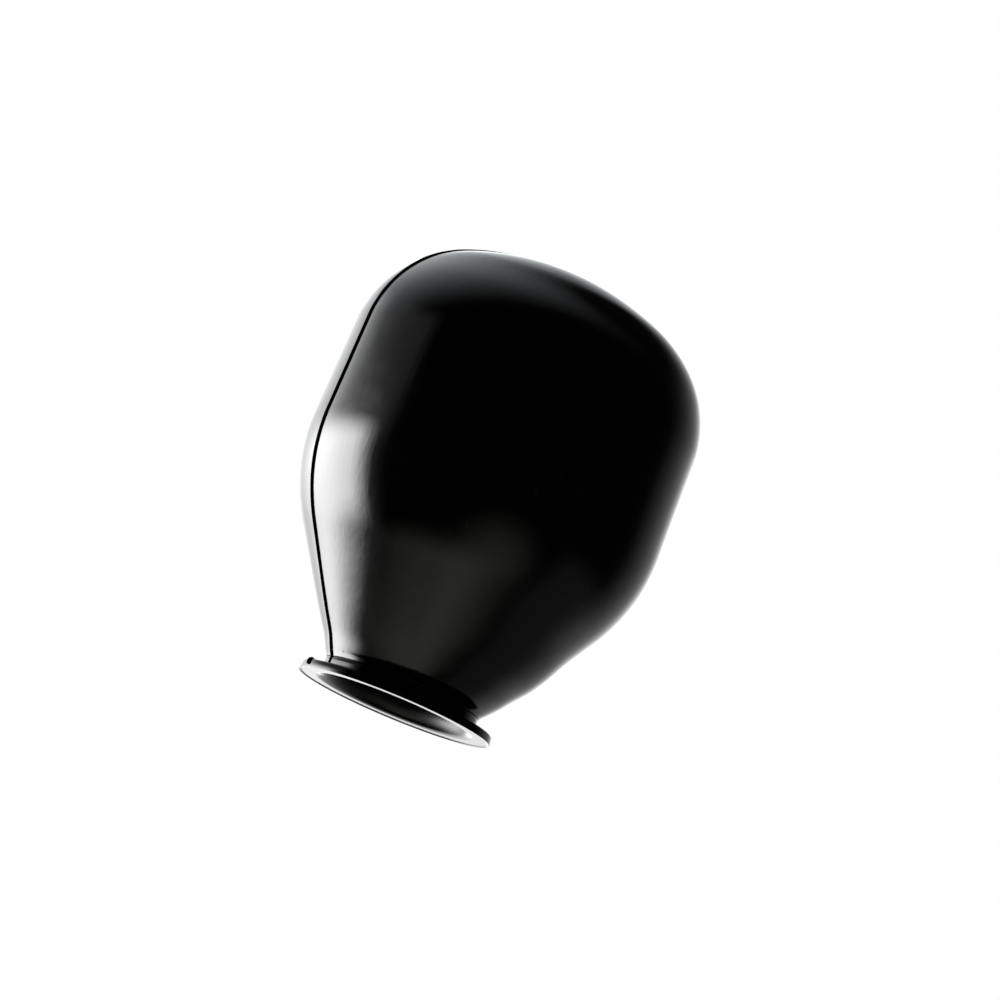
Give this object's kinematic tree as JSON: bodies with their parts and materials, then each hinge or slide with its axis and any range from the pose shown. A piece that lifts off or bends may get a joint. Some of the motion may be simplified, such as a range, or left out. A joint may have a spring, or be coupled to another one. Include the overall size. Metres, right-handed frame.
{
  "type": "dust blower bulb",
  "caption": "Hollow moulded rubber squeeze bulb with a domed closed end, a raised seam fin and a flanged open mouth whose bore takes a blower nozzle.",
  "frame": {"origin": "centre of the mouth, on the flange's flat face, which is the face the bulb stands on", "axes": "+Z along the bulb's axis from the mouth to the closed dome; the seam lies in the YZ plane and the squeeze is along X"},
  "size_m": [0.06, 0.0606, 0.0754],
  "materials": {
    "bulb_rubber": "gloss",
    "seam_rubber": "satin",
    "ring_rubber": "gloss"
  },
  "bodies": {
    "bulb": {"left_half": "bulb_rubber", "right_half": "bulb_rubber", "seam_web": "seam_rubber", "mouth_ring": "ring_rubber"},
    "left_wall": {"left_squeeze_patch": "bulb_rubber"},
    "right_wall": {"right_squeeze_patch": "bulb_rubber"}
  },
  "joints": [
    {"name": "squeeze_left", "type": "slide", "parent": "bulb", "child": "left_wall", "axis": [1, 0, 0], "range_m": [0, 0.008], "stiffness_N_per_m": 1500},
    {"name": "squeeze_right", "type": "slide", "parent": "bulb", "child": "right_wall", "axis": [-1, 0, 0], "range_m": [0, 0.008], "stiffness_N_per_m": 1500}
  ]
}
